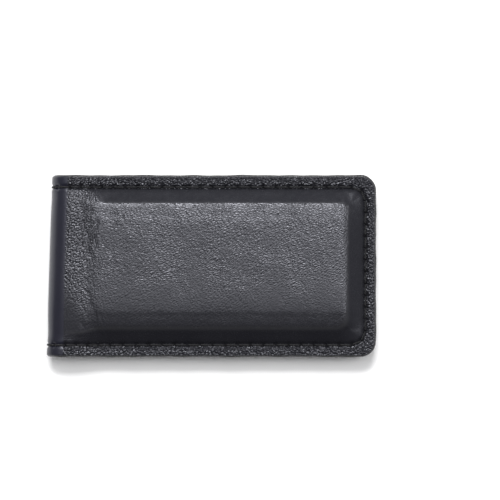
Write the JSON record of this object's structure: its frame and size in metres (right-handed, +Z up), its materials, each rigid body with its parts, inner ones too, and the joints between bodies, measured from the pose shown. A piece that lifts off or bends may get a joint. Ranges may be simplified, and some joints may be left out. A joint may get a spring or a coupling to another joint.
{
  "type": "money clip",
  "caption": "Folding leather money clip: two padded, stitched leaves with magnets inside, joined by a rolled fold.",
  "frame": {"origin": "bottom centre of the closed clip's box: the middle of the length and the width, on the plane of the rear panel's face", "axes": "+X from the fold to the free ends, +Y across the width, +Z up from the rear leaf to the front leaf"},
  "size_m": [0.071, 0.0392, 0.0087],
  "materials": {
    "grained_leather": "satin",
    "lining_leather": "matte",
    "bonded_board": "matte",
    "foam": "matte",
    "nickel_plate": "polished",
    "thread": "satin"
  },
  "bodies": {
    "rear_leaf": {"rear_outer_leather": "grained_leather", "rear_lining": "lining_leather", "rear_core_board": "bonded_board", "rear_foam_pad": "foam", "rear_magnet_tip": "nickel_plate", "rear_magnet_mid": "nickel_plate", "rear_needle_thread": "thread", "rear_bobbin_thread": "thread"},
    "fold_segment_a": {"fold_outer_leather_a": "grained_leather", "fold_lining_a": "lining_leather", "fold_thread_a": "thread"},
    "fold_segment_b": {"fold_outer_leather_b": "grained_leather", "fold_lining_b": "lining_leather", "fold_thread_b": "thread"},
    "fold_segment_c": {"fold_outer_leather_c": "grained_leather", "fold_lining_c": "lining_leather", "fold_thread_c": "thread"},
    "front_leaf": {"front_outer_leather": "grained_leather", "front_lining": "lining_leather", "front_core_board": "bonded_board", "front_foam_pad": "foam", "front_magnet_tip": "nickel_plate", "front_magnet_mid": "nickel_plate", "front_needle_thread": "thread", "front_bobbin_thread": "thread"}
  },
  "joints": [
    {"name": "fold_hinge_1", "type": "hinge", "parent": "rear_leaf", "child": "fold_segment_a", "pos_m": [-0.03257, 0, 0.00139], "axis": [0, -1, 0], "range_deg": [-0.15, 45]},
    {"name": "fold_hinge_2", "type": "hinge", "parent": "fold_segment_a", "child": "fold_segment_b", "pos_m": [-0.03431, 0, 0.00313], "axis": [0, -1, 0], "range_deg": [-0.15, 45]},
    {"name": "fold_hinge_3", "type": "hinge", "parent": "fold_segment_b", "child": "fold_segment_c", "pos_m": [-0.03431, 0, 0.00557], "axis": [0, -1, 0], "range_deg": [-0.15, 45]},
    {"name": "fold_hinge_4", "type": "hinge", "parent": "fold_segment_c", "child": "front_leaf", "pos_m": [-0.03257, 0, 0.00731], "axis": [0, -1, 0], "range_deg": [-0.15, 45]}
  ]
}
